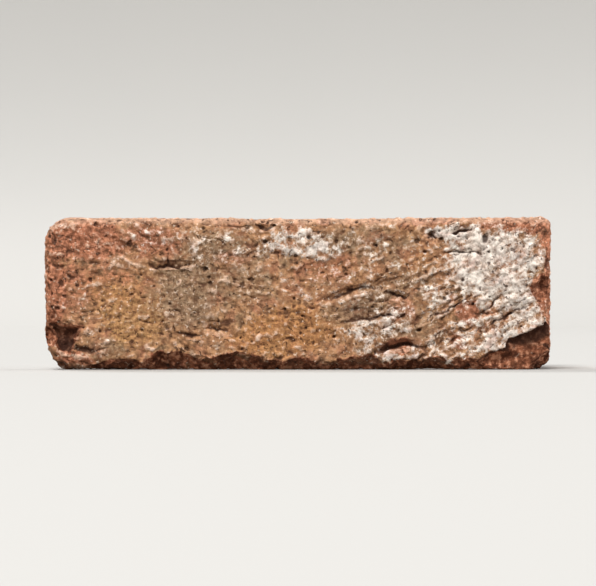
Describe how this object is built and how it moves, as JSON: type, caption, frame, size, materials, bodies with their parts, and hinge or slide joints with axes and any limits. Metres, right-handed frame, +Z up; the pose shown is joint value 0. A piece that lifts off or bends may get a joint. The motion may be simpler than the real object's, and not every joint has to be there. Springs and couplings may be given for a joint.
{
  "type": "brick slip corner",
  "caption": "L-shaped fired clay facing slip that turns a wall's outer corner, showing a worn stretcher face and header face, with flat sawn backs for bonding.",
  "frame": {"origin": "middle of the part's footprint, on the level of the lower bed", "axes": "+X along the stretcher leg towards the corner, +Y back along the header leg, +Z up from the lower bed. The stretcher face looks along -Y and the header face along +X."},
  "size_m": [0.215, 0.1025, 0.0649],
  "materials": {
    "fired_clay": "matt, sanded and grainy, with ochre, grey and lime-white film over a red-brown body"
  },
  "bodies": {
    "root": {"brick_slip_corner": "fired_clay"}
  },
  "joints": []
}
